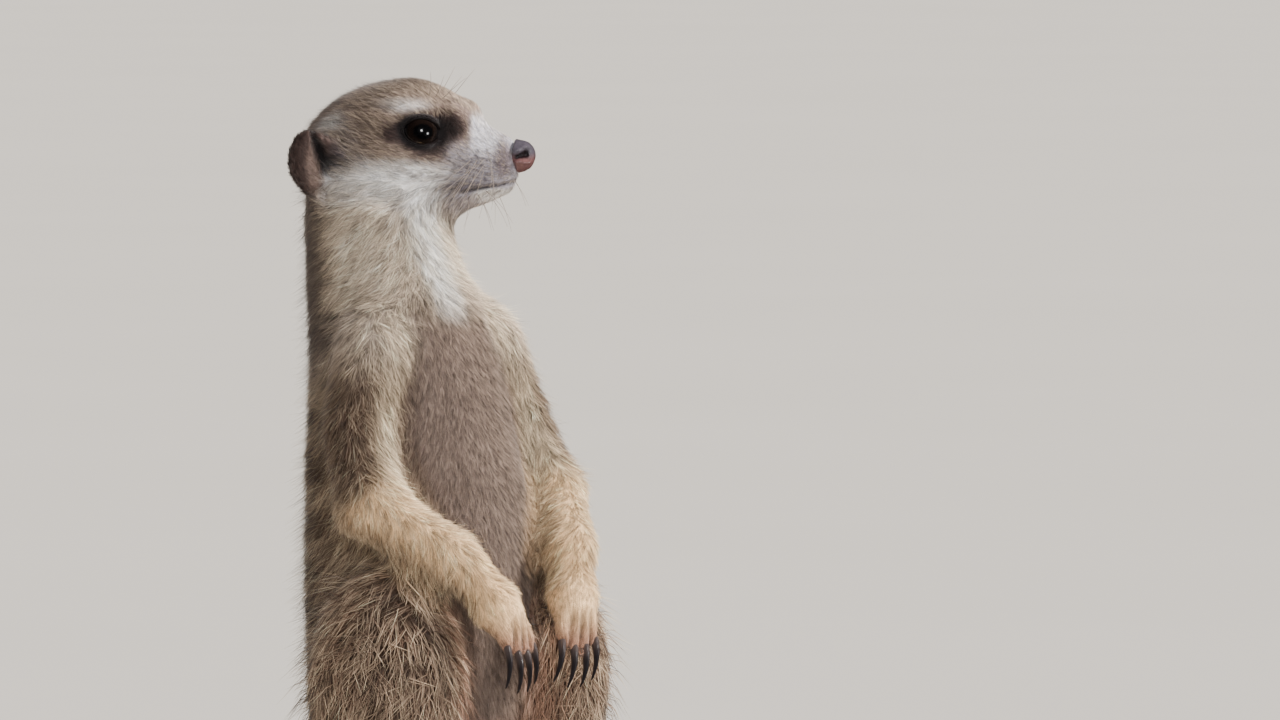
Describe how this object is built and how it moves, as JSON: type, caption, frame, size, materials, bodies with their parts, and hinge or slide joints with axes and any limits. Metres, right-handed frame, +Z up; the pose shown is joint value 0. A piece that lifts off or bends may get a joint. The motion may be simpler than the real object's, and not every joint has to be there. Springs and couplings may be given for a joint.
{
  "type": "meerkat",
  "caption": "Life-size meerkat standing upright as a sentry, head turned to its left, forearms hanging before the belly, tail laid on the floor behind.",
  "frame": {"origin": "on the floor, in the middle of the footprint of the whole animal's box, tail included", "axes": "+Z up. The belly faces -Y and the tail lies towards +Y. +X is the animal's own left."},
  "size_m": [0.1096, 0.2381, 0.3096],
  "materials": {
    "body_coat": "grizzled fur, matt",
    "belly_coat": "thin short fur, matt",
    "face_coat": "short grizzled fur, matt",
    "limb_coat": "short cream fur, matt",
    "dark_coat": "short dark fur, matt",
    "nose_skin": "moist, satin",
    "eye_gloss": "wet gloss",
    "claw_horn": "polished horn"
  },
  "bodies": {
    "root": {"head": "face_coat", "jaw": "face_coat", "nose": "nose_skin", "ear_right": "dark_coat", "eye_right": "eye_gloss", "ear_left": "dark_coat", "eye_left": "eye_gloss", "neck": "body_coat", "chest": "body_coat", "belly": "belly_coat", "hips": "body_coat", "tail_base": "body_coat", "tail_middle": "body_coat", "tail_tip": "dark_coat", "upper_arm_right": "body_coat", "forearm_right": "limb_coat", "hand_right": "limb_coat", "hand_right_claw_1": "claw_horn", "hand_right_claw_2": "claw_horn", "hand_right_claw_3": "claw_horn", "hand_right_claw_4": "claw_horn", "thigh_right": "body_coat", "shank_right": "body_coat", "foot_right": "limb_coat", "foot_right_claw_1": "claw_horn", "foot_right_claw_2": "claw_horn", "foot_right_claw_3": "claw_horn", "foot_right_claw_4": "claw_horn", "upper_arm_left": "body_coat", "forearm_left": "limb_coat", "hand_left": "limb_coat", "hand_left_claw_1": "claw_horn", "hand_left_claw_2": "claw_horn", "hand_left_claw_3": "claw_horn", "hand_left_claw_4": "claw_horn", "thigh_left": "body_coat", "shank_left": "body_coat", "foot_left": "limb_coat", "foot_left_claw_1": "claw_horn", "foot_left_claw_2": "claw_horn", "foot_left_claw_3": "claw_horn", "foot_left_claw_4": "claw_horn"}
  },
  "joints": []
}
